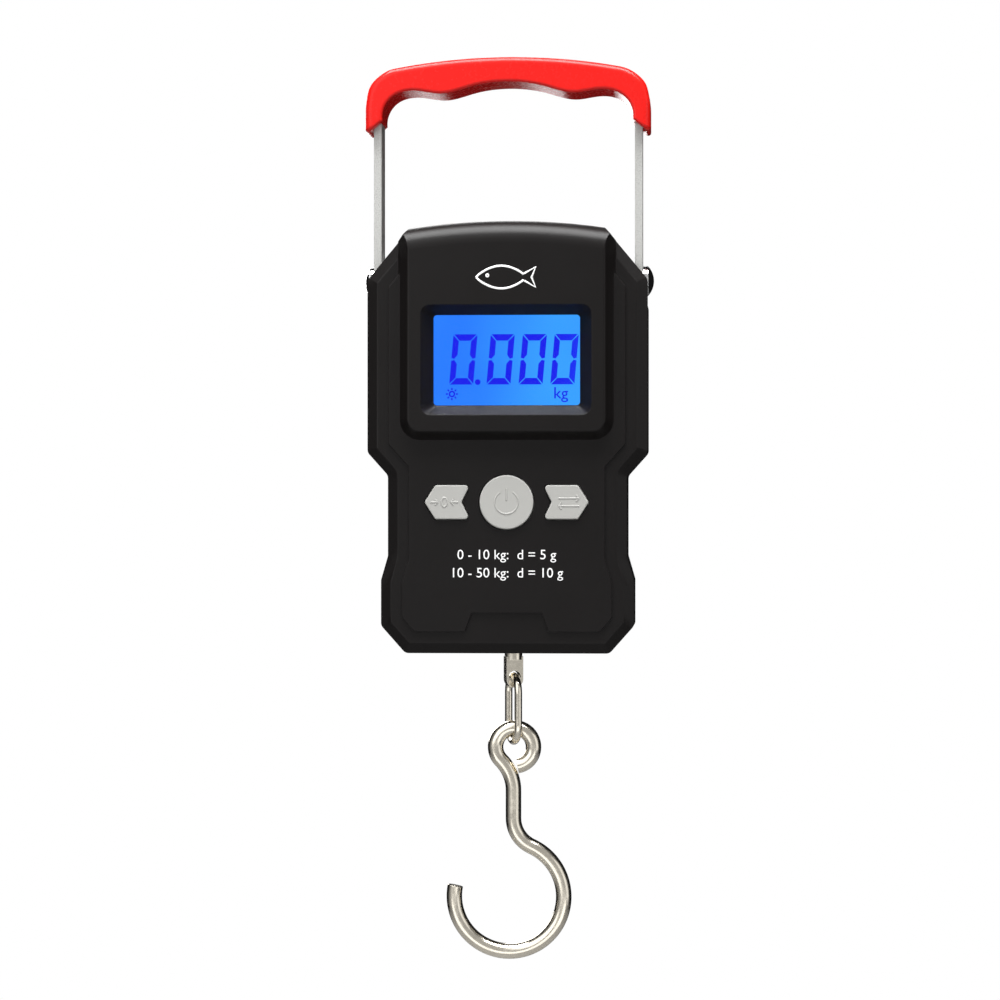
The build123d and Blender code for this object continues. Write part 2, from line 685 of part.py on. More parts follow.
def pivot_pin(side):
    """A rivet: a peened tail inside the ear, the shaft, and a domed head outside the washer."""
    head_x = -(ARM_OUTER + WASHER_GAP + WASHER_THICK)
    tail_x = -EAR_INNER + TAIL_THICK
    pin = rod(tail_x, 0, PIVOT_Z, (-1, 0, 0), PIN_DIAMETER / 2, tail_x - head_x)
    pin += rod(tail_x, 0, PIVOT_Z, (-1, 0, 0), TAIL_RADIUS, TAIL_THICK)
    radius = DOME_DIAMETER / 2
    ball_radius = (radius ** 2 + DOME_HEIGHT ** 2) / (2 * DOME_HEIGHT)
    ball = Pos(head_x - DOME_HEIGHT + ball_radius, 0, PIVOT_Z) * Sphere(ball_radius)
    pin += ball & rod(head_x, 0, PIVOT_Z, (-1, 0, 0), radius, DOME_HEIGHT + 1)
    return pin if side < 0 else mirror(pin, about=Plane.YZ)


def pivot_washer(side):
    start = ARM_OUTER + WASHER_GAP
    ring = rod(side * start, 0, PIVOT_Z, (side, 0, 0), DOME_DIAMETER / 2, WASHER_THICK)
    return ring - rod(side * (start - 1), 0, PIVOT_Z, (side, 0, 0), PIN_DIAMETER / 2, WASHER_THICK + 2)


# ---- load frame and load cell ----
def load_frame():
    """Folded sheet steel: an ear at each pivot, a web across, and a tab joggled back to the load cell."""
    web_top = PIVOT_Z - WEB_TOP_DROP
    web_low = web_top - WEB_BAND
    bay_foot = BATTERY_Z - DOOR_HALF_Z - BAY_WALL
    half_tab = TAB_WIDTH / 2
    tab_end = CELL_TOP - 14.0
    web = polygon(mirrored([
        (EAR_OUTER, web_top), (EAR_OUTER, web_low), (half_tab, bay_foot + 3.0), (half_tab, bay_foot - 0.8),
    ]))
    frame = slab(web, WEB_FRONT, WEB_FRONT + SHEET)
    step = CELL_BACK - WEB_FRONT
    y0 = WEB_FRONT
    y1 = WEB_FRONT + SHEET
    lean = SHEET * math.tan(math.radians(22.5))
    jog_top = bay_foot - 0.8
    profile = [
        (y0, jog_top + 1.0), (y1, jog_top + 1.0), (y1, jog_top), (y1 + step, jog_top - step),
        (y1 + step, tab_end), (y0 + step, tab_end), (y0 + step, jog_top - step - lean),
        (y0, jog_top - lean),
    ]
    side_plane = Plane(origin=(-half_tab, 0, 0), x_dir=(0, 1, 0), z_dir=(1, 0, 0))
    frame += extrude(side_plane * polygon(profile), amount=TAB_WIDTH)
    for side in (-1, 1):
        inner = side * EAR_INNER
        outer = side * EAR_OUTER
        ear = block(inner, outer, WEB_FRONT, EAR_RADIUS, web_low + 3.0, PIVOT_Z)
        ear += rod(inner, 0, PIVOT_Z, (side, 0, 0), EAR_RADIUS, SHEET) & block(
            inner, outer, WEB_FRONT, EAR_RADIUS, PIVOT_Z - 1, PIVOT_Z + EAR_RADIUS
        )
        ear -= rod(side * (EAR_INNER - 1), 0, PIVOT_Z, (side, 0, 0), PIN_DIAMETER / 2, SHEET + 2)
        frame += ear
    for z in cell_screw_heights():
        frame -= rod(0, CELL_BACK - 1, z, (0, 1, 0), CELL_SCREW / 2, SHEET + 2)
    return frame


def cell_screw_heights():
    return [CELL_TOP - CELL_SCREW_TOP_DROP, CELL_TOP - CELL_SCREW_LOW_DROP]


def gauge_z():
    return CELL_TOP - 20.0


def load_cell():
    half = CELL_WIDTH / 2
    cell = block(-half, half, CELL_FRONT, CELL_BACK, CELL_BOTTOM, CELL_TOP)
    low, high = gauge_z() - GAUGE_HOLE_STEP, gauge_z() + GAUGE_HOLE_STEP
    for z in (low, high):
        cell -= rod(0, CELL_FRONT - 1, z, (0, 1, 0), GAUGE_HOLE_RADIUS, CELL_DEPTH + 2)
    cell -= block(-GAUGE_SLOT_HALF, GAUGE_SLOT_HALF, CELL_FRONT - 1, CELL_BACK + 1, low, high)
    cell -= block(
        HANG_SHIFT - NUT_WINDOW_HALF, HANG_SHIFT + NUT_WINDOW_HALF, CELL_FRONT - 1, CELL_BACK + 1,
        WINDOW_FLOOR_Z, WINDOW_FLOOR_Z + NUT_WINDOW,
    )
    cell -= rod(HANG_SHIFT, 0, CELL_BOTTOM - 1, (0, 0, 1), THREAD_DIAMETER / 2 + ROD_FIT, CELL_FOOT + 2)
    for z in cell_screw_heights():
        cell -= rod(0, CELL_BACK + 1, z, (0, -1, 0), CELL_SCREW / 2, CELL_DEPTH - 0.8)
    return cell


def load_cell_screws():
    solids = []
    for z in cell_screw_heights():
        shank = rod(0, CELL_BACK + SHEET, z, (0, -1, 0), CELL_SCREW / 2, SHEET + CELL_DEPTH - 2.5)
        head = rod(0, CELL_BACK + SHEET, z, (0, 1, 0), CELL_SCREW_HEAD / 2, CELL_HEAD_THICK)
        solids.append(shank + head)
    return solids


def strain_gauges():
    half = CELL_WIDTH / 2
    solids = []
    for side in (-1, 1):
        solids.append(block(side * half, side * (half + 0.3), -2.0, 3.0, gauge_z() - 4, gauge_z() + 4))
    return solids


def wire(points, radius, bend):
    """A round wire along straight runs joined by tangent arcs."""
    path = FilletPolyline(*points, radius=bend)
    start = Vector(*points[0])
    direction = Vector(*points[1]) - start
    section = Plane(origin=start, z_dir=direction) * Circle(radius)
    return sweep(section, path=path)


def gauge_leads():
    solids = []
    for side in (-1, 1):
        for y in (-0.6, 1.6):
            x = side * (CELL_WIDTH / 2 + 0.3 + 0.4)
            z_low = gauge_z() + 4.0 - 0.5
            z_top = gauge_z() + 8.0 + 2.0 * y
            points = [(x, y, z_low), (x, y, z_top), (x, BOARD_BACK, z_top)]
            solids.append(wire(points, 0.4, 1.2))
    return solids


# ---- batteries ----
def battery(row):
    z = BATTERY_Z + (BATTERY_PITCH / 2 if row == 0 else -BATTERY_PITCH / 2)
    turn = 1 if row == 0 else -1
    start = -turn * (BATTERY_LENGTH + BATTERY_NUB) / 2
    can = rod(start, BATTERY_Y, z, (turn, 0, 0), BATTERY_DIAMETER / 2, BATTERY_LENGTH)
    nub = rod(start + turn * BATTERY_LENGTH, BATTERY_Y, z, (turn, 0, 0), NUB_RADIUS, BATTERY_NUB)
    return can + nub


def contact_plate(side, z_low, z_high):
    """A sprung plate against the end wall of the battery bay."""
    wall = side * POCKET_HALF_X
    y = BATTERY_Y
    half = CONTACT_HALF_DEPTH
    return block(wall, wall - side * CONTACT_THICK, y - half, y + half, z_low, z_high)


def contact_spring(side, z):
    """A folded leaf that presses on a battery's flat end."""
    wall = side * (POCKET_HALF_X - CONTACT_THICK)
    tip = side * ((BATTERY_LENGTH + BATTERY_NUB) / 2 + 0.1)
    thick = side * CONTACT_THICK
    leaf = [
        (wall, z - 3.2), (wall, z - 2.2), (tip + thick, z + 1.0), (wall - thick, z + 3.0),
        (wall - thick * 1.2, z + 3.0), (tip, z + 1.0), (tip, z + 0.6), (wall - thick * 0.6, z - 3.2),
    ]
    return slab(polygon(leaf), BATTERY_Y - 2.2, BATTERY_Y + 2.2)


def battery_contacts():
    upper = BATTERY_Z + BATTERY_PITCH / 2
    lower = BATTERY_Z - BATTERY_PITCH / 2
    half = CONTACT_HALF_HEIGHT
    link = contact_plate(1, lower - half, upper + half) + contact_spring(1, lower)
    positive = contact_plate(-1, lower - half, lower + half)
    negative = contact_plate(-1, upper - half, upper + half) + contact_spring(-1, upper)
    return link, positive, negative


# ---- fasteners and bush ----
def case_screws():
    solids = []
    for x, z in case_screw_places():
        head_y = REAR_FACE - SCREW_SINK
        head = rod(x, head_y, z, (0, 1, 0), CASE_SCREW_HEAD / 2, SCREW_HEAD_THICK)
        slot = block(x - 1.5, x + 1.5, head_y + 0.8, head_y + 2, z - 0.3, z + 0.3)
        slot += block(x - 0.3, x + 0.3, head_y + 0.8, head_y + 2, z - 1.5, z + 1.5)
        shank = rod(x, head_y, z, (0, -1, 0), CASE_SCREW / 2 - 0.02, head_y - PARTING + 2.6)
        solids.append(head + shank - slot)
    return solids


def bush_radius():
    return ROD_DIAMETER / 2 + BUSH_GAP + BUSH_WALL


def bottom_bush():
    x = HANG_SHIFT
    ring = rod(x, 0, BODY_BOTTOM, (0, 0, 1), bush_radius(), SIDE_WALL)
    ring += rod(x, 0, BODY_BOTTOM + SIDE_WALL, (0, 0, 1), bush_radius() + 1.2, 1.0)
    return ring - rod(x, 0, BODY_BOTTOM - 1, (0, 0, 1), ROD_DIAMETER / 2 + BUSH_GAP, SIDE_WALL + 4)


# ---- shank, link and hook ----
def hung(solid):
    """Move a piece drawn about the Z axis onto the shank's own axis."""
    return Pos(HANG_SHIFT, 0, 0) * solid


def yawed(solid):
    """Turn a piece drawn with its thickness along X so that X points forwards, a little to the right."""
    return Rot(0, 0, YAW - 90) * solid


def hook_shank():
    shoulder = CELL_BOTTOM - 0.6
    rod_end = EYELET_BOTTOM + EYELET_LENGTH
    shank = rod(0, 0, shoulder, (0, 0, -1), ROD_DIAMETER / 2, shoulder - rod_end)
    thread_top = WINDOW_FLOOR_Z + 0.8 + NUT_THICK + 1.2
    shank += rod(0, 0, shoulder, (0, 0, 1), THREAD_DIAMETER / 2, thread_top - shoulder)
    radius = EYELET_WIDTH / 2
    half = EYELET_THICK / 2
    tab = block(-half, half, -radius, radius, EYELET_BOTTOM + radius, rod_end + 1.0)
    tab += rod(-half, 0, EYELET_BOTTOM + radius, (1, 0, 0), radius, EYELET_THICK)
    tab -= rod(-half - 1, 0, EYELET_Z, (1, 0, 0), EYELET_HOLE / 2, EYELET_THICK + 2)
    return hung(shank + yawed(tab))


def shank_nut():
    z = WINDOW_FLOOR_Z + 0.8
    nut = extrude(Pos(0, 0, z) * RegularPolygon(NUT_FLATS / 2, 6, major_radius=False), amount=NUT_THICK)
    return hung(nut - rod(0, 0, z - 1, (0, 0, 1), THREAD_DIAMETER / 2, NUT_THICK + 2))


def thrust_washer():
    z = WINDOW_FLOOR_Z + 0.05
    ring = rod(0, 0, z, (0, 0, 1), NUT_FLATS / 2, 0.75)
    return hung(ring - rod(0, 0, z - 1, (0, 0, 1), THREAD_DIAMETER / 2, 3))


def swivel_link():
    bend = LINK_BEND
    top = LINK_TOP_Z - bend
    low = LINK_BOTTOM_Z + bend
    plane = Plane(origin=(0, 0, 0), x_dir=(1, 0, 0), z_dir=(0, -1, 0))
    right = Line((bend, low), (bend, top))
    over = ThreePointArc((bend, top), (0, top + bend), (-bend, top))
    left = Line((-bend, top), (-bend, low))
    under = ThreePointArc((-bend, low), (0, low - bend), (bend, low))
    path = plane * Wire([right.edge(), over.edge(), left.edge(), under.edge()])
    section = Plane(origin=(bend, 0, low), z_dir=(0, 0, 1)) * Circle(LINK_WIRE / 2)
    return hung(yawed(sweep(section, path=path)))


def arc_about(centre, radius, start, end):
    """An arc about a centre between two angles in degrees, in the direction from start to end."""
    def at(angle):
        turn = math.radians(angle)
        return (centre[0] + radius * math.cos(turn), centre[1] + radius * math.sin(turn))
    return ThreePointArc(at(start), at((start + end) / 2), at(end)).edge(), at(start), at(end)


def hook():
    """One bent wire: an open eye, a short swan neck, a straight stem and the bowl."""
    eye, first, leave = arc_about((EYE_OFFSET, EYE_Z), EYE_RADIUS, EYE_START, EYE_LEAVE)
    neck_radius = -leave[0] / (1 - math.cos(math.radians(EYE_LEAVE - 180)))
    centre = (-neck_radius, leave[1] - neck_radius * math.sin(math.radians(EYE_LEAVE - 180)))
    neck, neck_start, neck_end = arc_about(centre, neck_radius, EYE_LEAVE - 180, 0)
    stem_low = EYE_Z - HOOK_STEM
    reach = stem_low - HOOK_Z
    side = HOOK_OFFSET
    bend_radius = (reach ** 2 + side ** 2 - HOOK_RADIUS ** 2) / (2 * (HOOK_RADIUS + side))
    turn = math.degrees(math.atan2(reach, bend_radius - side))
    bend, bend_start, bend_end = arc_about((bend_radius, stem_low), bend_radius, 180, 180 + turn)
    bowl, bowl_start, tip = arc_about((side, HOOK_Z), HOOK_RADIUS, turn, HOOK_TIP - 360)
    stem = Line(neck_end, (0, stem_low)).edge()
    plane = Plane(origin=(0, 0, 0), x_dir=(1, 0, 0), z_dir=(0, -1, 0))
    path = plane * Wire([eye, neck, stem, bend, bowl])
    angle = math.radians(EYE_START)
    heading = (-math.sin(angle), 0, math.cos(angle))
    section = Plane(origin=(first[0], 0, first[1]), z_dir=heading) * Circle(HOOK_WIRE / 2)
    return hung(sweep(section, path=path))


def main():
    os.makedirs("parts", exist_ok=True)
    write("front_shell", front_shell())
    write("rear_shell", rear_shell())
    write("battery_door", battery_door())
    write("display_window", display_window())
    write("window_gasket", window_gasket())
    write("lcd_cell", lcd_cell())
    write("lcd_holder", lcd_holder())
    write("backlight_guide", backlight_guide())
    write("backlight_led", backlight_led())
    write("lcd_connector", lcd_connector())
    write("circuit_board", circuit_board())
    write("board_screws", *board_screws())
    write("controller_chip", controller_chip())
    write("clock_crystal", clock_crystal())
    write("chip_capacitors", *chip_capacitors())
    write("tact_switches", *tact_switches())
    for name in BUTTONS:
        write(name + "_button", button(name))
        write(name + "_plunger", plunger(name))
    write("handle_bail", handle_bail())
    write("grip", grip())
    for side, word in ((-1, "left"), (1, "right")):
        write("pivot_pin_" + word, pivot_pin(side))
        write("pivot_washer_" + word, pivot_washer(side))
    write("load_frame", load_frame())
    write("load_cell", load_cell())
    write("load_cell_screws", *load_cell_screws())
    write("strain_gauges", *strain_gauges())
    write("gauge_leads", *gauge_leads())
    write("battery_upper", battery(0))
    write("battery_lower", battery(1))
    link, positive, negative = battery_contacts()
    write("battery_link_contact", link)
    write("battery_positive_contact", positive)
    write("battery_negative_contact", negative)
    write("case_screws", *case_screws())
    write("bottom_bush", bottom_bush())
    write("hook_shank", hook_shank())
    write("shank_nut", shank_nut())
    write("thrust_washer", thrust_washer())
    write("swivel_link", swivel_link())
    write("hook", hook())


main()
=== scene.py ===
# %% [markdown]
# # A hanging digital scale, finished in Blender
# This scene takes a imported CAD model of a fish scale and gives it its looks. Everything is in metres, in
# the model's own frame: Z is up, the display faces -Y, and the origin is on the underside of the grip. The
# model's box is kept from before anything is added.

# %% Load the frame
import math

import bmesh
import bpy
from mathutils import Matrix, Vector


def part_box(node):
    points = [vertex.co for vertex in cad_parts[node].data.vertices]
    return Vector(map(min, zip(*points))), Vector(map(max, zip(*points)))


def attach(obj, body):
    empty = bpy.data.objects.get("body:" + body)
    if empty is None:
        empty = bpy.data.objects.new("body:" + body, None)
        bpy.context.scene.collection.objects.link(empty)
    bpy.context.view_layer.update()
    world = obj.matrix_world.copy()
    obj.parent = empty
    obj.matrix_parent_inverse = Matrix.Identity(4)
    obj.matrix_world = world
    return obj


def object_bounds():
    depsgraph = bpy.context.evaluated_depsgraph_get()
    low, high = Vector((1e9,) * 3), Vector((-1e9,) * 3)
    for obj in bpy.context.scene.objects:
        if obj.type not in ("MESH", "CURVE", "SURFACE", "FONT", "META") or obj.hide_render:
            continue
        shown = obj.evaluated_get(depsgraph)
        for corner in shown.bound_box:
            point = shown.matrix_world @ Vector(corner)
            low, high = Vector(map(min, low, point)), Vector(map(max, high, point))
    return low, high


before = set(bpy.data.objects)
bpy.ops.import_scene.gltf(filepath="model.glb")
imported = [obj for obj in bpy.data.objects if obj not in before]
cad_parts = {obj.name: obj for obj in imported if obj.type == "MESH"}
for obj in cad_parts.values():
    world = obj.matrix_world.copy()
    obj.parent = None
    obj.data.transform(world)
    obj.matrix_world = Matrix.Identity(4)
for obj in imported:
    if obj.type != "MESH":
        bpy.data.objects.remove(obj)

CAD_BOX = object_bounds()
MM = 0.001
print("CAD box", CAD_BOX)


# %% [markdown]
# Materials are trees of nodes. They could be wired by hand in the editor, but in a script the same three
# steps come back for every node: make it, set it, link it. One small helper does the first two, and another
# starts a node group with named sockets, so that each material below reads as a list of what it does.

# %% Helpers for nodes and node groups
def add(tree, kind, inputs=None, **settings):
    """Adds a node, with its settings and the plain values of its inputs."""
    node = tree.nodes.new(kind)
    for name, value in settings.items():
        setattr(node, name, value)
    for name, value in (inputs or {}).items():
        node.inputs[name].default_value = value
    return node


def new_group(name, inputs, outputs):
    """Starts a shader node group with named sockets, and gives it with its way in and its way out."""
    group = bpy.data.node_groups.new(name, "ShaderNodeTree")
    for label, kind, value in inputs:
        socket = group.interface.new_socket(label, in_out="INPUT", socket_type=kind)
        socket.default_value = value
    for label, kind in outputs:
        group.interface.new_socket(label, in_out="OUTPUT", socket_type=kind)
    return group, add(group, "NodeGroupInput"), add(group, "NodeGroupOutput")


print("node helpers", add.__name__, new_group.__name__)


# %% [markdown]
# Sums and colour mixes are the most common nodes. A helper for each takes either sockets, which it links,
# or plain values, which it sets, so a calculation can be written almost as on paper. The mix node has
# hidden sockets for each kind of data, and its colour ones are found by number: 0 the factor, 6 and 7 the
# colours.

# %% Helpers for sums and colour mixes
FACTOR_IN, FIRST_IN, SECOND_IN, COLOUR_OUT = 0, 6, 7, 2


def math_node(tree, operation, *values, clamp=False):
    node = add(tree, "ShaderNodeMath", operation=operation, use_clamp=clamp)
    for socket, value in zip(node.inputs, values):
        if isinstance(value, bpy.types.NodeSocket):
            tree.links.new(value, socket)
        else:
            socket.default_value = value
    return node.outputs[0]


def mix_colours(tree, factor, first, second):
    node = add(tree, "ShaderNodeMix", data_type="RGBA")
    for index, value in ((FACTOR_IN, factor), (FIRST_IN, first), (SECOND_IN, second)):
        if isinstance(value, bpy.types.NodeSocket):
            tree.links.new(value, node.inputs[index])
        elif index == FACTOR_IN:
            node.inputs[index].default_value = value
        else:
            node.inputs[index].default_value = (*value, 1.0)
    return node.outputs[COLOUR_OUT]


print("calculation helpers", math_node.__name__, mix_colours.__name__)


# %% [markdown]
# A moulded case carries the fine texture of its tool, and a plated wire the faint marks of drawing and
# dipping. Both are a small, even grain. It could be modelled, but at a fraction of a millimetre it is
# cheaper and better as noise that feeds the roughness and the bump. The stretch lengthens the noise along
# Z, for brushed or drawn metal. The group gives the raw height and a sharper mask.

# %% Fine grain, as a node group
FLOAT, COLOUR, VECTOR = "NodeSocketFloat", "NodeSocketColor", "NodeSocketVector"


def build_grain():
    sockets = [("Scale", FLOAT, 2500.0), ("Stretch", FLOAT, 1.0)]
    group, enter, leave = new_group("fine_grain", sockets, [("Height", FLOAT), ("Mask", FLOAT)])
    place = add(group, "ShaderNodeTexCoord")
    stretch = add(group, "ShaderNodeMapping")
    combine = add(group, "ShaderNodeCombineXYZ", {"X": 1.0, "Y": 1.0})
    group.links.new(enter.outputs["Stretch"], combine.inputs["Z"])
    group.links.new(combine.outputs[0], stretch.inputs["Scale"])
    group.links.new(place.outputs["Object"], stretch.inputs["Vector"])
    noise = add(group, "ShaderNodeTexNoise", {"Detail": 4.0, "Roughness": 0.6})
    group.links.new(stretch.outputs[0], noise.inputs["Vector"])
    group.links.new(enter.outputs["Scale"], noise.inputs["Scale"])
    group.links.new(noise.outputs["Fac"], leave.inputs["Height"])
    mask = add(group, "ShaderNodeMapRange", {"From Min": 0.35, "From Max": 0.65})
    group.links.new(noise.outputs["Fac"], mask.inputs["Value"])
    group.links.new(mask.outputs["Result"], leave.inputs["Mask"])
    return group


GRAIN = build_grain()
print("group", GRAIN.name, "nodes", len(GRAIN.nodes))


# %% [markdown]
# No real surface is one even colour: plastic cools unevenly, and plating and hands leave slow clouds. A
# wide, soft noise swings the colour a little above and below its own value. It multiplies the colour, so a
# black stays black and a red stays red.

# %% Slow tone, as a node group
def build_tone():
    sockets = [("Colour", COLOUR, (0.5, 0.5, 0.5, 1)), ("Scale", FLOAT, 60.0), ("Amount", FLOAT, 0.1)]
    group, enter, leave = new_group("slow_tone", sockets, [("Colour", COLOUR), ("Mask", FLOAT)])
    place = add(group, "ShaderNodeTexCoord")
    noise = add(group, "ShaderNodeTexNoise", {"Detail": 3.0, "Roughness": 0.55})
    group.links.new(place.outputs["Object"], noise.inputs["Vector"])
    group.links.new(enter.outputs["Scale"], noise.inputs["Scale"])
    centred = math_node(group, "SUBTRACT", noise.outputs["Fac"], 0.5)
    swing = math_node(group, "MULTIPLY", centred, enter.outputs["Amount"])
    level = math_node(group, "ADD", swing, 1.0)
    scale = add(group, "ShaderNodeVectorMath", operation="SCALE")
    group.links.new(enter.outputs["Colour"], scale.inputs[0])
    group.links.new(level, scale.inputs["Scale"])
    group.links.new(scale.outputs[0], leave.inputs["Colour"])
    group.links.new(noise.outputs["Fac"], leave.inputs["Mask"])
    return group


TONE = build_tone()
print("group", TONE.name, "nodes", len(TONE.nodes))


# %% [markdown]
# Edges catch the light: a moulding is never perfectly sharp, and its corners are painted paler as a
# highlight. Bevelling every CAD solid would change its mesh, which stays as it is. The Bevel node rounds
# only the shading normal, and where that normal turns away from the true one there is an edge, so the same
# node gives the mask for the painted edge highlight.

# %% Edge rounding and painted highlight mask, as a node group
def build_edge():
    sockets = [("Reach", FLOAT, 0.0004)]
    group, enter, leave = new_group("edge_highlight_mask", sockets, [("Mask", FLOAT), ("Normal", VECTOR)])
    soft = add(group, "ShaderNodeBevel", samples=6)
    group.links.new(enter.outputs["Reach"], soft.inputs["Radius"])
    true = add(group, "ShaderNodeNewGeometry")
    dot = add(group, "ShaderNodeVectorMath", operation="DOT_PRODUCT")
    group.links.new(soft.outputs[0], dot.inputs[0])
    group.links.new(true.outputs["True Normal"], dot.inputs[1])
    mask = add(group, "ShaderNodeMapRange", {"From Min": 0.995, "From Max": 0.86})
    group.links.new(dot.outputs["Value"], mask.inputs["Value"])
    group.links.new(mask.outputs["Result"], leave.inputs["Mask"])
    group.links.new(soft.outputs[0], leave.inputs["Normal"])
    return group


EDGE = build_edge()
print("group", EDGE.name, "nodes", len(EDGE.nodes))


# %% [markdown]
# Every opaque finish follows one recipe, from the gloss of the grip to the dull foam of the gasket: a
# colour that drifts, a grain that moves the roughness and the height, and edges rounded in the shading,
# with a painted highlight in a paler colour along them where one is given. One function with named values
# is easier to keep even than twenty hand-made trees. Depths and reaches are given in millimetres. What is
# the same all over a surface, such as the metal or the coat, is set on the shader itself.

# %% The opaque finish
COAT_ROUGHNESS = 0.12


def finish(name, colour, roughness, metallic=0.0, grain=2500.0, depth=0.01, swing=0.08, tone=60.0,
           tone_amount=0.12, reach=0.35, edge_highlight=None, edge_highlight_amount=0.35, stretch=1.0, coat=0.0, specular=0.5):
    material = bpy.data.materials.new(name)
    material.use_nodes = True
    tree = material.node_tree
    shader = tree.nodes["Principled BSDF"]
    shader.inputs["Metallic"].default_value = metallic
    shader.inputs["Specular IOR Level"].default_value = specular
    shader.inputs["Coat Weight"].default_value = coat
    shader.inputs["Coat Roughness"].default_value = COAT_ROUGHNESS
    drift = add(tree, "ShaderNodeGroup", node_tree=TONE)
    drift.inputs["Colour"].default_value = (*colour, 1.0)
    drift.inputs["Scale"].default_value = tone
    drift.inputs["Amount"].default_value = tone_amount
    edges = add(tree, "ShaderNodeGroup", node_tree=EDGE)
    edges.inputs["Reach"].default_value = reach * MM
    # Painted highlight: the edge mask mixes the paler edge colour into the base colour.
    weight = math_node(tree, "MULTIPLY", edges.outputs["Mask"], edge_highlight_amount if edge_highlight else 0.0)
    edge_highlighted = mix_colours(tree, weight, drift.outputs["Colour"], edge_highlight or colour)
    tree.links.new(edge_highlighted, shader.inputs["Base Color"])
    fine = add(tree, "ShaderNodeGroup", node_tree=GRAIN)
    fine.inputs["Scale"].default_value = grain
    fine.inputs["Stretch"].default_value = stretch
    rough = math_node(tree, "MULTIPLY_ADD", fine.outputs["Mask"], swing, roughness - swing / 2)
    slow = math_node(tree, "MULTIPLY_ADD", drift.outputs["Mask"], swing, -swing / 2)
    total = math_node(tree, "ADD", rough, slow, clamp=True)
    tree.links.new(total, shader.inputs["Roughness"])
    bump = add(tree, "ShaderNodeBump", {"Strength": 1.0, "Distance": depth * MM})
    tree.links.new(fine.outputs["Height"], bump.inputs["Height"])
    tree.links.new(edges.outputs["Normal"], bump.inputs["Normal"])
    tree.links.new(bump.outputs[0], shader.inputs["Normal"])
    return material


print("one recipe for every opaque finish:", finish.__name__)


# %% [markdown]
# The case is two mouldings and a battery door in black plastic with a fine matt texture. Its black is a
# little warm, and its corners are painted slightly paler as a highlight. A CAD solid keeps its mesh, and a
# finish is given by filling its material slots.

# %% The black case
def dress(material, *nodes):
    """Gives CAD nodes a finish."""
    for node in nodes:
        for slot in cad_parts[node].material_slots:
            slot.material = material
    print(material.name, "on", ", ".join(nodes))


CASE_BLACK = finish("case_black_finish", (0.0052, 0.0044, 0.0043), 0.36, depth=0.010, grain=2600.0,
                    edge_highlight=(0.035, 0.033, 0.033), edge_highlight_amount=0.25, specular=0.16)
dress(CASE_BLACK, "front_shell", "rear_shell", "battery_door")


# %% [markdown]
# The display sits behind a clear acrylic window, polished on both faces. Clear plastic needs transmission,
# not transparency, so that its edges bend the light. The index is set lower than acrylic's own, so that the
# window reflects little of the room and the figures behind it stay crisp.

# %% The clear window
WINDOW_IOR = 1.3


def clear_finish(name, tint):
    material = bpy.data.materials.new(name)
    material.use_nodes = True
    shader = material.node_tree.nodes["Principled BSDF"]
    shader.inputs["Base Color"].default_value = (*tint, 1.0)
    shader.inputs["Metallic"].default_value = 0.0
    shader.inputs["Roughness"].default_value = 0.0
    shader.inputs["Transmission Weight"].default_value = 1.0
    shader.inputs["IOR"].default_value = WINDOW_IOR
    return material


WINDOW_CLEAR = clear_finish("window_clear_finish", (0.97, 0.98, 1.0))
dress(WINDOW_CLEAR, "display_window")


# %% [markdown]
# The display glass is lit from one end by a small lamp, so its blue is paler towards the right. An image
# could hold that, but a colour that runs between two places on X, broken up by a soft cloud, does it with a
# few nodes. It glows and has no gloss of its own, because the window in front has that. The lit segments
# use the same recipe in a deeper blue.

# %% Glowing finishes
CLOUD_SCALE = 55.0
CLOUD_AMOUNT = 0.5


def glow_finish(name, left, right, low, high, strength):
    """A sheet whose colour runs from left to right between two X places, in metres."""
    material = bpy.data.materials.new(name)
    material.use_nodes = True
    tree = material.node_tree
    shader = tree.nodes["Principled BSDF"]
    shader.inputs["Roughness"].default_value = 0.3
    shader.inputs["Base Color"].default_value = (0.0, 0.0, 0.0, 1.0)
    shader.inputs["Specular IOR Level"].default_value = 0.0
    shader.inputs["Emission Strength"].default_value = strength
    place = add(tree, "ShaderNodeTexCoord")
    part = add(tree, "ShaderNodeSeparateXYZ")
    tree.links.new(place.outputs["Object"], part.inputs[0])
    along = add(tree, "ShaderNodeMapRange", {"From Min": low, "From Max": high},
                interpolation_type="SMOOTHSTEP")
    tree.links.new(part.outputs["X"], along.inputs["Value"])
    cloud = add(tree, "ShaderNodeTexNoise", {"Scale": CLOUD_SCALE, "Detail": 1.0})
    tree.links.new(place.outputs["Object"], cloud.inputs["Vector"])
    drift = math_node(tree, "MULTIPLY_ADD", cloud.outputs["Fac"], CLOUD_AMOUNT, -CLOUD_AMOUNT / 2)
    share = math_node(tree, "ADD", along.outputs["Result"], drift, clamp=True)
    tree.links.new(mix_colours(tree, share, left, right), shader.inputs["Emission Color"])
    return material


LCD_BLUE = glow_finish("lcd_blue_finish", (0.012, 0.195, 1.0), (0.03, 0.345, 1.0), -0.018, 0.018, 1.06)
SEGMENT_BLUE = glow_finish("segment_blue_finish", (0.0, 0.004, 0.86), (0.0, 0.03, 0.95), 0.012, 0.024, 1.0)
dress(LCD_BLUE, "lcd_cell")


# %% [markdown]
# The bail is galvanised steel strap, bent to shape. Its rolled faces are smooth and half bright, and its
# sheared edges, which face the front, are pale and speckled where the zinc is rough. Both are on one solid,
# so the surface's own normal tells them apart: where it points along Y, the cut edge shows.

# %% Galvanised strap
SPECK_SCALE = 3200.0
ROLLED_METAL = 0.7
CUT_METAL = 0.2


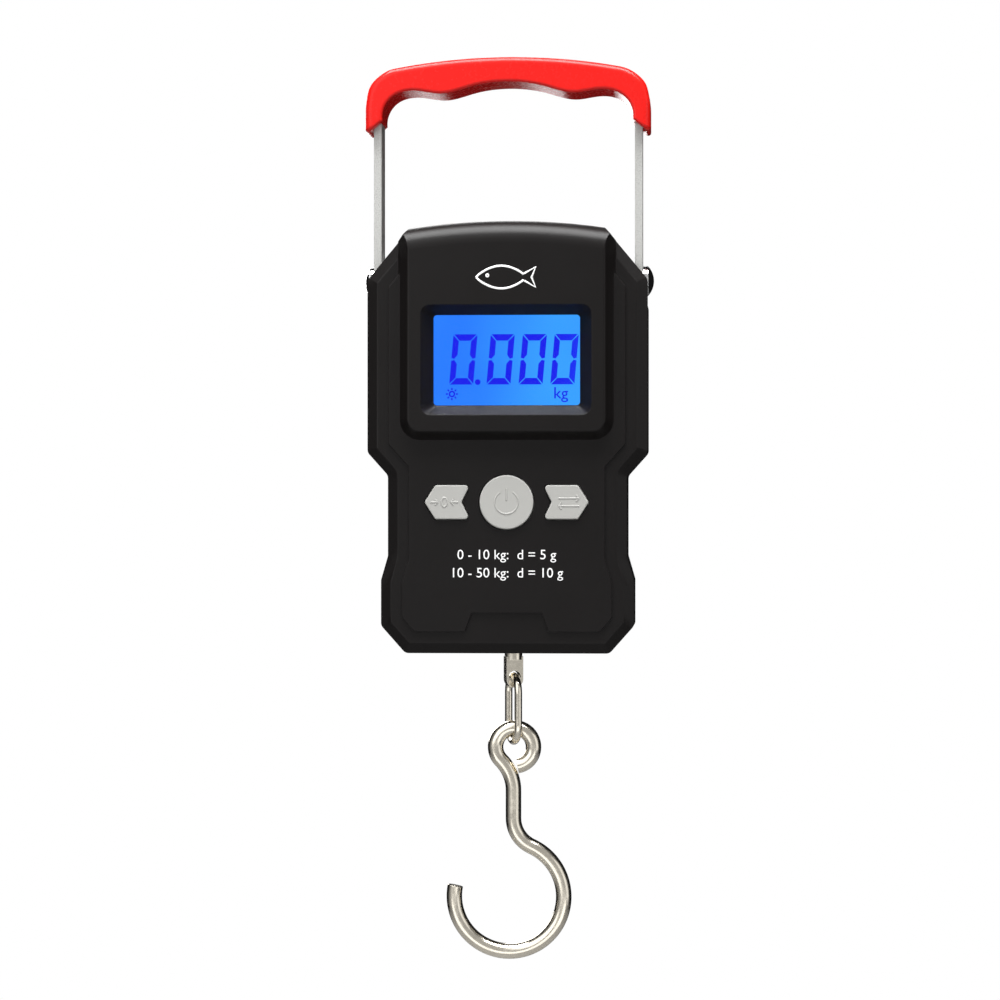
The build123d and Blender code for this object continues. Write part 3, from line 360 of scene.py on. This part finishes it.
def strap_finish(name):
    # Painted highlight: a paler edge colour along every edge of the strap.
    material = finish(name, (0.58, 0.58, 0.56), 0.38, grain=900.0, depth=0.01, stretch=0.15,
                      tone=220.0, tone_amount=0.5, reach=0.25, edge_highlight=(0.85, 0.85, 0.83), edge_highlight_amount=0.5)
    tree = material.node_tree
    shader = tree.nodes["Principled BSDF"]
    place = add(tree, "ShaderNodeTexCoord")
    part = add(tree, "ShaderNodeSeparateXYZ")
    tree.links.new(place.outputs["Normal"], part.inputs[0])
    facing = math_node(tree, "ABSOLUTE", part.outputs["Y"])
    cut = add(tree, "ShaderNodeMapRange", {"From Min": 0.6, "From Max": 0.9})
    tree.links.new(facing, cut.inputs["Value"])
    speck = add(tree, "ShaderNodeTexNoise", {"Scale": SPECK_SCALE, "Detail": 5.0, "Roughness": 0.75})
    tree.links.new(place.outputs["Object"], speck.inputs["Vector"])
    tones = add(tree, "ShaderNodeValToRGB")
    dark, pale = tones.color_ramp.elements
    dark.position, dark.color = 0.34, (0.16, 0.16, 0.155, 1)
    pale.position, pale.color = 0.50, (0.43, 0.43, 0.415, 1)
    tree.links.new(speck.outputs["Fac"], tones.inputs["Fac"])
    rolled = shader.inputs["Base Color"].links[0].from_socket
    colour = mix_colours(tree, cut.outputs["Result"], rolled, tones.outputs["Color"])
    tree.links.new(colour, shader.inputs["Base Color"])
    metal = math_node(tree, "MULTIPLY_ADD", cut.outputs["Result"], CUT_METAL - ROLLED_METAL, ROLLED_METAL)
    tree.links.new(metal, shader.inputs["Metallic"])
    return material


STRAP_ZINC = strap_finish("strap_zinc_finish")
dress(STRAP_ZINC, "handle_bail", "load_frame")


# %% [markdown]
# The grip is a glossy red moulding, almost free of texture, with a painted highlight in a brighter red
# along its edges. The keys are a soft grey plastic with rims painted paler as a highlight, and the printing
# is thin white ink. All three are the opaque recipe with their own values.

# %% Grip, keys and ink
GRIP_RED = finish("grip_red_finish", (0.56, 0.008, 0.006), 0.26, depth=0.0003, grain=900.0, swing=0.05,
                  tone=40.0, tone_amount=0.06, edge_highlight=(0.96, 0.05, 0.04), edge_highlight_amount=0.3, reach=0.4,
                  specular=0.2)
KEY_GREY = finish("key_grey_finish", (0.345, 0.343, 0.326), 0.40, depth=0.006, grain=2800.0,
                  tone_amount=0.05, edge_highlight=(0.52, 0.515, 0.495), edge_highlight_amount=0.6, reach=0.3)
PRINT_WHITE = finish("print_white_finish", (0.80, 0.80, 0.80), 0.5, depth=0.004, grain=4000.0, reach=0.05)
dress(GRIP_RED, "grip")
dress(KEY_GREY, "power_button", "tare_button", "unit_button")


# %% [markdown]
# Two bright metals hang and hold everything. The pins are chromed and nearly mirrors. The stud, link and
# hook are drawn wire with a warm nickel plate, a little softer, so that the room shows in them as broad
# bands with dark outlines. Both have a painted highlight, a paler colour along their edges.

# %% Bright metals
RIVET_CHROME = finish("rivet_chrome_finish", (0.78, 0.78, 0.78), 0.10, metallic=1.0, depth=0.002,
                      grain=1800.0, reach=0.2, edge_highlight=(0.9, 0.9, 0.9))
HOOK_NICKEL = finish("hook_nickel_finish", (0.74, 0.69, 0.59), 0.20, metallic=1.0, depth=0.0005,
                     grain=700.0, swing=0.10, tone=120.0, tone_amount=0.2, reach=0.2,
                     edge_highlight=(0.92, 0.88, 0.78))
dress(RIVET_CHROME, "pivot_pin_left", "pivot_pin_right", "pivot_washer_left", "pivot_washer_right")
dress(HOOK_NICKEL, "hook_shank", "swivel_link", "hook")


# %% [markdown]
# Some of the pieces inside show when the door lifts, and all of them when the case is taken apart. Each
# gets its own finish: foam, moulded packages, a solder mask, milled aluminium, foil gauges and battery
# sleeves. They differ only in a few values, so a table holds them, with the nodes that each is for.

# %% Finishes for what is inside
INSIDE = {
    "gasket_foam": (
        ("window_gasket",),
        dict(colour=(0.02, 0.02, 0.02), roughness=0.9, grain=3500.0, depth=0.05)),
    "holder_white": (
        ("lcd_holder", "backlight_led"),
        dict(colour=(0.75, 0.75, 0.73), roughness=0.4)),
    "guide_clear": (
        ("backlight_guide",),
        dict(colour=(0.75, 0.82, 0.9), roughness=0.2, grain=1800.0)),
    "connector_grey": (
        ("lcd_connector",),
        dict(colour=(0.10, 0.10, 0.11), roughness=0.7, grain=6000.0, stretch=0.05)),
    "chip_black": (
        ("controller_chip", "tact_switches"),
        dict(colour=(0.02, 0.02, 0.02), roughness=0.55)),
    "ceramic_tan": (
        ("chip_capacitors",),
        dict(colour=(0.45, 0.33, 0.2), roughness=0.45)),
    "plunger_black": (
        ("power_plunger", "tare_plunger", "unit_plunger"),
        dict(colour=(0.03, 0.03, 0.03), roughness=0.35)),
    "cell_aluminium": (
        ("load_cell",),
        dict(colour=(0.75, 0.76, 0.77), roughness=0.32, metallic=1.0, stretch=0.1, grain=1200.0)),
    # Painted highlight: a paler edge colour along the edges of the screws, washer, nut and crystal.
    "screw_steel": (
        ("case_screws", "board_screws", "load_cell_screws", "thrust_washer", "shank_nut", "clock_crystal"),
        dict(colour=(0.55, 0.55, 0.54), roughness=0.28, metallic=1.0, edge_highlight=(0.8, 0.8, 0.8))),
    "gauge_amber": (
        ("strain_gauges",),
        dict(colour=(0.7, 0.33, 0.05), roughness=0.3, grain=3000.0, stretch=0.1)),
    "lead_red": (
        ("gauge_leads",),
        dict(colour=(0.5, 0.03, 0.025), roughness=0.45)),
    "battery_wrap": (
        ("battery_upper", "battery_lower"),
        dict(colour=(0.05, 0.07, 0.16), roughness=0.25, coat=0.3)),
    "contact_nickel": (
        ("battery_link_contact", "battery_positive_contact", "battery_negative_contact"),
        dict(colour=(0.72, 0.70, 0.66), roughness=0.25, metallic=1.0)),
    "bush_nylon": (
        ("bottom_bush",),
        dict(colour=(0.03, 0.03, 0.03), roughness=0.5)),
    "board_green": (
        ("circuit_board",),
        dict(colour=(0.015, 0.14, 0.05), roughness=0.3, tone=300.0, tone_amount=0.8, coat=0.4)),
}
for name, (nodes, values) in INSIDE.items():
    dress(finish(name + "_finish", **values), *nodes)


# %% [markdown]
# New pieces are the marks and the figures. Each is made of several small meshes that belong together, so
# they are joined into one piece, given one finish, and put on the body that they move with. Joining goes
# through a bmesh, which needs no selection or editor.

# %% Join small meshes into one piece
def join_as_piece(name, meshes, material, body, slot):
    work = bmesh.new()
    for mesh in meshes:
        work.from_mesh(mesh)
        bpy.data.meshes.remove(mesh)
    whole = bpy.data.meshes.new(name)
    work.to_mesh(whole)
    work.free()
    whole.materials.clear()
    whole.materials.append(material)
    for face in whole.polygons:
        face.material_index = 0
    piece = bpy.data.objects.new(name, whole)
    bpy.context.scene.collection.objects.link(piece)
    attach(piece, body)
    print(name, "rides on", body, "faces", len(whole.polygons))


print("pieces are joined by", join_as_piece.__name__)


# %% [markdown]
# Raised lines and inked outlines are strokes. A curve with a round section gives a line of even width with
# closed ends, where a chain of boxes would show its joints. The curve is made a mesh first, and only then
# flattened towards the face and set at its depth, because to move the curve's own points would leave its
# section round.

# %% Strokes
STROKE_ROUNDNESS = 3


def curve_mesh(curve, place):
    """Makes a curve a mesh, and puts its place into the mesh."""
    holder = bpy.data.objects.new("holder", curve)
    bpy.context.scene.collection.objects.link(holder)
    bpy.context.view_layer.update()
    graph = bpy.context.evaluated_depsgraph_get()
    mesh = bpy.data.meshes.new_from_object(holder.evaluated_get(graph), depsgraph=graph)
    mesh.transform(place)
    bpy.data.objects.remove(holder)
    bpy.data.curves.remove(curve)
    return mesh


def stroke(points, width, relief, y, closed=False):
    """A line through points (x, z) in metres. Relief is its depth over its width, and y is its middle."""
    curve = bpy.data.curves.new("stroke", "CURVE")
    curve.dimensions = "3D"
    curve.bevel_depth = width / 2
    curve.bevel_resolution = STROKE_ROUNDNESS
    curve.use_fill_caps = True
    line = curve.splines.new("POLY")
    line.points.add(len(points) - 1)
    for point, (x, z) in zip(line.points, points):
        point.co = (x, 0, z, 1)
    line.use_cyclic_u = closed
    return curve_mesh(curve, Matrix.Translation((0, y, 0)) @ Matrix.Diagonal((1, relief, 1, 1)))


def arc_points(x, z, radius, start, end, steps=24, squash=1.0):
    """Points along an arc, between two angles in degrees. Squash narrows it along X."""
    angles = [math.radians(start + (end - start) * step / steps) for step in range(steps + 1)]
    return [(x + radius * math.cos(angle) * squash, z + radius * math.sin(angle)) for angle in angles]


print("strokes have a bevel resolution of", STROKE_ROUNDNESS)


# %% [markdown]
# A segment of the display is a flat shape with slanted ends. Filling its outline and extruding it gives a
# small closed plate. Letters come from Blender's own font, as text with a little thickness, made a mesh and
# stood upright.

# %% Plates and letters
LETTER_RESOLUTION = 4


def plate(points, y_front, y_back):
    """An outline (x, z), filled and extruded between two depths."""
    work = bmesh.new()
    face = work.faces.new([work.verts.new((x, y_back, z)) for x, z in points])
    grown = bmesh.ops.extrude_face_region(work, geom=[face])
    moved = [item for item in grown["geom"] if isinstance(item, bmesh.types.BMVert)]
    bmesh.ops.translate(work, verts=moved, vec=(0, y_front - y_back, 0))
    bmesh.ops.recalc_face_normals(work, faces=work.faces)
    mesh = bpy.data.meshes.new("plate")
    work.to_mesh(mesh)
    work.free()
    return mesh


def lettering(text, size, x, z, y, thick, bold=0.0):
    """Text set upright and centred on (x, z). Bold swells its outline."""
    curve = bpy.data.curves.new("text", "FONT")
    curve.body = text
    curve.size = size
    curve.align_x = "CENTER"
    curve.align_y = "CENTER"
    curve.extrude = thick / 2
    curve.offset = bold
    curve.resolution_u = LETTER_RESOLUTION
    upright = Matrix.Rotation(math.radians(90), 4, "X")
    return curve_mesh(curve, Matrix.Translation((x, y, z)) @ upright)


print("letters have a curve resolution of", LETTER_RESOLUTION)


# %% [markdown]
# The reading is seven-segment figures that lean to the right, all noughts, so only the outer six segments
# are lit. The middle of the window gives the place of everything on the display. Each segment is a flat
# shape with mitred ends, and narrow splits part it from the next.

# %% Shape of a figure
glass_low, glass_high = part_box("lcd_cell")
window_low, window_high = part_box("display_window")
VIEW_X = (window_low[0] + window_high[0]) / 2
VIEW_Z = (window_low[2] + window_high[2]) / 2
GLASS_FACE = glass_low[1]
SEGMENT_FRONT = GLASS_FACE - 0.05 * MM
FIGURE_HEIGHT = 14.4 * MM
FIGURE_WIDTH = 6.9 * MM
FIGURE_FOOT = VIEW_Z - 6.9 * MM
SEGMENT_WIDTH = 1.85 * MM
SPLIT = 0.16 * MM
SLANT = math.tan(math.radians(5.0))


def slanted(points, left):
    return [(VIEW_X + left + x + z * SLANT, FIGURE_FOOT + z) for x, z in points]


def segments():
    """The outlines of the six outer segments, upright, from the figure's lower left corner."""
    w, h, s, g = FIGURE_WIDTH, FIGURE_HEIGHT, SEGMENT_WIDTH, SPLIT
    m = h / 2
    top = [(g * 1.5, h), (w - g * 1.5, h), (w - s, h - s), (s, h - s)]
    foot = [(s, s), (w - s, s), (w - g * 1.5, 0), (g * 1.5, 0)]
    upper = [(0, m + g * 2.5), (0, h - g * 1.5), (s - g, h - s - g), (s - g, m + s * 0.7),
             (s * 0.45, m + g)]
    lower = [(s * 0.45, m - g), (s - g, m - s * 0.7), (s - g, s + g), (0, g * 1.5), (0, m - g * 2.5)]
    sides = [upper, lower]
    mirrored = [[(w - x, z) for x, z in reversed(side)] for side in sides]
    return [top, foot, *sides, *mirrored]


print("a figure has", len(segments()), "lit segments, and the window's middle is at", VIEW_X, VIEW_Z)


# %% [markdown]
# Beside the four noughts and their point, the display shows a small sun, which says that its light is on,
# and the unit. The sun is a ring with eight rays. All of it is one piece just in front of the glass, in the
# deeper blue.

# %% Reading on the display
FIGURE_LEFT = [-16.6 * MM, -5.9 * MM, 3.3 * MM, 12.4 * MM]
POINT_RADIUS = 0.82 * MM
SUN_RADIUS = 0.72 * MM
SUN_LINE = 0.46 * MM
RAY_LINE = 0.44 * MM
RAY_ENDS = (1.15 * MM, 1.75 * MM)
RAYS = 8
SUN_RELIEF = 0.1
UNIT_SIZE = 4.7 * MM

reading = [plate(slanted(shape, left), SEGMENT_FRONT, GLASS_FACE)
           for left in FIGURE_LEFT for shape in segments()]
point_outline = arc_points(VIEW_X - 8.4 * MM, VIEW_Z - 6.2 * MM, POINT_RADIUS, 0, 345, 23)
reading.append(plate(point_outline, SEGMENT_FRONT, GLASS_FACE))
sun_x, sun_z = VIEW_X - 15.8 * MM, VIEW_Z - 9.6 * MM
sun_ring = arc_points(sun_x, sun_z, SUN_RADIUS, 0, 345, 23)
reading.append(stroke(sun_ring, SUN_LINE, SUN_RELIEF, SEGMENT_FRONT, closed=True))
for ray in range(RAYS):
    angle = math.radians(360 / RAYS * ray)
    ends = [(sun_x + reach * math.cos(angle), sun_z + reach * math.sin(angle)) for reach in RAY_ENDS]
    reading.append(stroke(ends, RAY_LINE, SUN_RELIEF, SEGMENT_FRONT))
reading.append(lettering("kg", UNIT_SIZE, VIEW_X + 15.4 * MM, VIEW_Z - 9.5 * MM, SEGMENT_FRONT, 0.05 * MM,
                         bold=0.02 * MM))
join_as_piece("display_reading", reading, SEGMENT_BLUE, "housing", "lcd_blue")


# %% [markdown]
# The power key carries a raised ring, open at the top, with a bar through the gap. It is part of the
# moulding, so it has the key's own plastic, stands out by less than its width, and rides on the key when it
# is pressed.

# %% Power symbol
MARK_WIDTH = 0.55 * MM
MARK_RELIEF = 0.45


def key_face(node):
    """The middle of a key's front face."""
    low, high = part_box(node)
    return (low[0] + high[0]) / 2, low[1], (low[2] + high[2]) / 2


def mark(points, y, closed=False):
    return stroke(points, MARK_WIDTH, MARK_RELIEF, y, closed)


x, y, z = key_face("power_button")
PLATEAU_FACE = y + 0.8 * MM
ring = mark(arc_points(x, z, 3.35 * MM, 122, 418, 40), y)
bar = mark([(x, z + 0.4 * MM), (x, z + 4.0 * MM)], y)
join_as_piece("power_symbol", [ring, bar], KEY_GREY, "power_key", "key_grey")


# %% [markdown]
# The two side keys set the zero and change the unit. Plain symbols say that in any language: two arrows
# that close on a nought, and two arrows that pass each other. An arrow is a shaft and a barb, and a
# negative reach turns it round, so one helper draws all four.

# %% Symbols on the side keys
def arrow(x, z, reach, head, y):
    turn = math.copysign(1, reach)
    tip = x + reach
    shaft = mark([(x, z), (tip, z)], y)
    barb = mark([(tip - turn * head, z + head), (tip, z), (tip - turn * head, z - head)], y)
    return [shaft, barb]


x, y, z = key_face("tare_button")
x -= 0.6 * MM
nought = mark(arc_points(x, z, 1.3 * MM, 0, 350, 35, squash=0.62), y, closed=True)
closing = [*arrow(x - 4.0 * MM, z, 2.2 * MM, 0.8 * MM, y), *arrow(x + 4.0 * MM, z, -2.2 * MM, 0.8 * MM, y)]
join_as_piece("tare_symbol", [nought, *closing], KEY_GREY, "tare_key", "key_grey")

x, y, z = key_face("unit_button")
x += 0.6 * MM
forth = arrow(x - 3.0 * MM, z + 1.1 * MM, 6.0 * MM, 0.9 * MM, y)
back_again = arrow(x + 3.0 * MM, z - 1.1 * MM, -6.0 * MM, 0.9 * MM, y)
join_as_piece("unit_symbol", [*forth, *back_again], KEY_GREY, "unit_key", "key_grey")


# %% [markdown]
# The case is printed in white ink. Above the display is the outline of a fish: its back rises and falls
# much as half a sine wave, its belly is the back turned over, and a forked tail closes it. A stroke
# flattened to a few hundredths of a millimetre gives ink that stands just proud of the plastic.

# %% Inked fish
case_low, case_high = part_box("front_shell")
HOOD_FACE = case_low[1]
CASE_TOP = case_high[2]
INK = 0.02 * MM
INK_RELIEF = 0.06
FISH_LENGTH = 17 * MM
FISH_Z = CASE_TOP - 16.6 * MM
FISH_LINE = 0.62 * MM
EYE_LINE = 0.45 * MM


def fish(x, z, length):
    """The back, belly, tail and eye of a fish that looks left, centred on (x, z)."""
    half = length / 2
    steps = [step / 20 for step in range(17)]
    rise = [0.19 * length * math.sin(math.pi * min(1.0, t * 1.18)) ** 0.8 for t in steps]
    back = [(x - half + length * t, z + height) for t, height in zip(steps, rise)]
    belly = [(px, 2 * z - pz) for px, pz in back]
    tail_x = x + half * 0.62
    tail = [(tail_x, z + 0.06 * length), (x + half, z + 0.17 * length), (x + half * 0.86, z),
            (x + half, z - 0.17 * length), (tail_x, z - 0.06 * length)]
    eye = arc_points(x - half * 0.62, z + 0.03 * length, 0.022 * length, 0, 330, 11)
    return back, belly, tail, eye


*outline, eye = fish(VIEW_X, FISH_Z, FISH_LENGTH)
ink = [stroke(line, FISH_LINE, INK_RELIEF, HOOD_FACE - INK) for line in outline]
ink.append(stroke(eye, EYE_LINE, INK_RELIEF, HOOD_FACE - INK, closed=True))
join_as_piece("fish_mark", ink, PRINT_WHITE, "housing", "holder_white")


# %% [markdown]
# Below the keys, two lines of plain figures give the ranges and their steps. Letters are made from the font
# and sit on the plateau, a few hundredths of a millimetre thick.

# %% Inked figures
RANGE_LINES = ("0 - 10 kg:  d = 5 g", "10 - 50 kg:  d = 10 g")
RANGE_SIZE = 3.95 * MM
FIRST_LINE_DROP = 95.7 * MM
LINE_PITCH = 5.2 * MM
figures = [lettering(text, RANGE_SIZE, VIEW_X, CASE_TOP - FIRST_LINE_DROP - LINE_PITCH * row,
                     PLATEAU_FACE - INK, 0.03 * MM) for row, text in enumerate(RANGE_LINES)]
join_as_piece("range_figures", figures, PRINT_WHITE, "housing", "holder_white")


# %% [markdown]
# The scale hangs, so its floor is half a metre below, where it can't be seen from the front. From above it
# should look as pale as the surround, but a white floor would also light the dark undersides of the wire
# and wash their outlines out. Its material is therefore a mid grey that only the camera sees as glowing
# white.

# %% Floor
low, high = [Vector(corner) for corner in CAD_BOX]
CENTRE = (low + high) / 2
FLOOR_RADIUS = 1.6
FLOOR_DROP = 0.5
FLOOR_GLOW = 0.78


def floor_finish():
    material = finish("floor_white", (0.30, 0.30, 0.30), 0.8, grain=300.0, depth=0.01)
    tree = material.node_tree
    path = add(tree, "ShaderNodeLightPath")
    glow = math_node(tree, "MULTIPLY", path.outputs["Is Camera Ray"], FLOOR_GLOW)
    shader = tree.nodes["Principled BSDF"]
    shader.inputs["Emission Color"].default_value = (1.0, 1.0, 1.0, 1.0)
    tree.links.new(glow, shader.inputs["Emission Strength"])
    return material


work = bmesh.new()
bmesh.ops.create_circle(work, cap_ends=True, segments=64, radius=FLOOR_RADIUS)
bmesh.ops.translate(work, verts=work.verts, vec=(0, 0, low.z - FLOOR_DROP))
floor_mesh = bpy.data.meshes.new("floor")
work.to_mesh(floor_mesh)
work.free()
floor = bpy.data.objects.new("floor", floor_mesh)
bpy.context.scene.collection.objects.link(floor)
floor_mesh.materials.append(floor_finish())
print("floor at", low.z - FLOOR_DROP)


# %% [markdown]
# Black plastic is shown by what it reflects, so the light comes from large soft panels. The key panel
# stands above left, a weaker one fills from the right, and one overhead rolls a highlight over the top of
# the case. One behind shows the back, and one low in front lifts the undersides. A table gives each panel's
# place and aim from the middle of the scale, its width and height in metres, and its power in watts.

# %% Lights
PANELS = {
    "key_light": ((-0.6, -1.0, 0.5), (0, 0, 0), (1.0, 1.2), 5.6),
    "fill_light": ((1.15, -0.6, 0.15), (0, 0, 0), (0.8, 1.0), 1.9),
    "top_light": ((0.0, -0.2, 0.85), (0, 0, 0.08), (0.9, 0.5), 27.0),
    "back_light": ((-0.5, 1.1, 0.45), (0, 0, 0), (1.0, 1.0), 13.0),
    "low_light": ((0.0, -0.75, -0.62), (0, 0, 0.1), (1.6, 0.9), 6.2),
}


def panel(name, place, aim, size, power):
    light = bpy.data.lights.new(name, "AREA")
    light.shape = "RECTANGLE"
    light.size, light.size_y = size
    light.energy = power
    lamp = bpy.data.objects.new(name, light)
    bpy.context.scene.collection.objects.link(lamp)
    lamp.location = place
    lamp.rotation_euler = (Vector(aim) - Vector(place)).to_track_quat("-Z", "Y").to_euler()


for name, (place, aim, size, power) in PANELS.items():
    panel(name, CENTRE + Vector(place), CENTRE + Vector(aim), size, power)
    print(name, power, "W")


# %% [markdown]
# The surround is white to the camera, as a studio sweep is. Bright metal would lose its outline against it
# if it reflected that white too, so reflections see another room: bright in front, where the faces of the
# wire look, and dark behind, where its edges do. The light path tells the two apart, and the standard view
# transform keeps the white pure.

# %% Surround
def surround():
    world = bpy.data.worlds.new("studio")
    bpy.context.scene.world = world
    world.use_nodes = True
    tree = world.node_tree
    tree.nodes.clear()
    place = add(tree, "ShaderNodeTexCoord")
    part = add(tree, "ShaderNodeSeparateXYZ")
    tree.links.new(place.outputs["Generated"], part.inputs[0])
    ramp = {"From Min": 0.25, "From Max": -0.8, "To Min": 0.010, "To Max": 0.60}
    front = add(tree, "ShaderNodeMapRange", ramp, interpolation_type="SMOOTHSTEP")
    tree.links.new(part.outputs["Y"], front.inputs["Value"])
    room = add(tree, "ShaderNodeBackground")
    tree.links.new(front.outputs["Result"], room.inputs["Strength"])
    seen = add(tree, "ShaderNodeBackground", {"Color": (1, 1, 1, 1), "Strength": 1.0})
    path = add(tree, "ShaderNodeLightPath")
    mix = add(tree, "ShaderNodeMixShader")
    tree.links.new(path.outputs["Is Camera Ray"], mix.inputs[0])
    tree.links.new(room.outputs[0], mix.inputs[1])
    tree.links.new(seen.outputs[0], mix.inputs[2])
    tree.links.new(mix.outputs[0], add(tree, "ShaderNodeOutputWorld").inputs["Surface"])
    return world


bpy.context.scene.view_settings.view_transform = "Standard"
print("world", surround().name)


# %% [markdown]
# From well back, an object's sides don't lean, and its proportions look true. The camera stands level with
# the middle of the scale and a few degrees to the right, which shows a little of the case's side. The lens
# follows from the height of the frame at that distance, and a very small shift centres the scale.

# %% Camera
AZIMUTH = math.radians(3.5)
DISTANCE = 0.9
FRAME_HEIGHT = 0.2892
SENSOR = 36.0
SHIFT = (-0.0090, 0.0095)
camera_data = bpy.data.cameras.new("camera")
camera = bpy.data.objects.new("camera", camera_data)
bpy.context.scene.collection.objects.link(camera)
aim = Vector((0.0, 0.0, CENTRE.z))
camera.location = aim + DISTANCE * Vector((math.sin(AZIMUTH), -math.cos(AZIMUTH), 0.0))
camera.rotation_euler = (aim - camera.location).to_track_quat("-Z", "Y").to_euler()
camera_data.sensor_width = SENSOR
camera_data.lens = SENSOR * DISTANCE / FRAME_HEIGHT
camera_data.shift_x, camera_data.shift_y = SHIFT
bpy.context.scene.camera = camera
print("lens", round(camera_data.lens, 1), "mm")
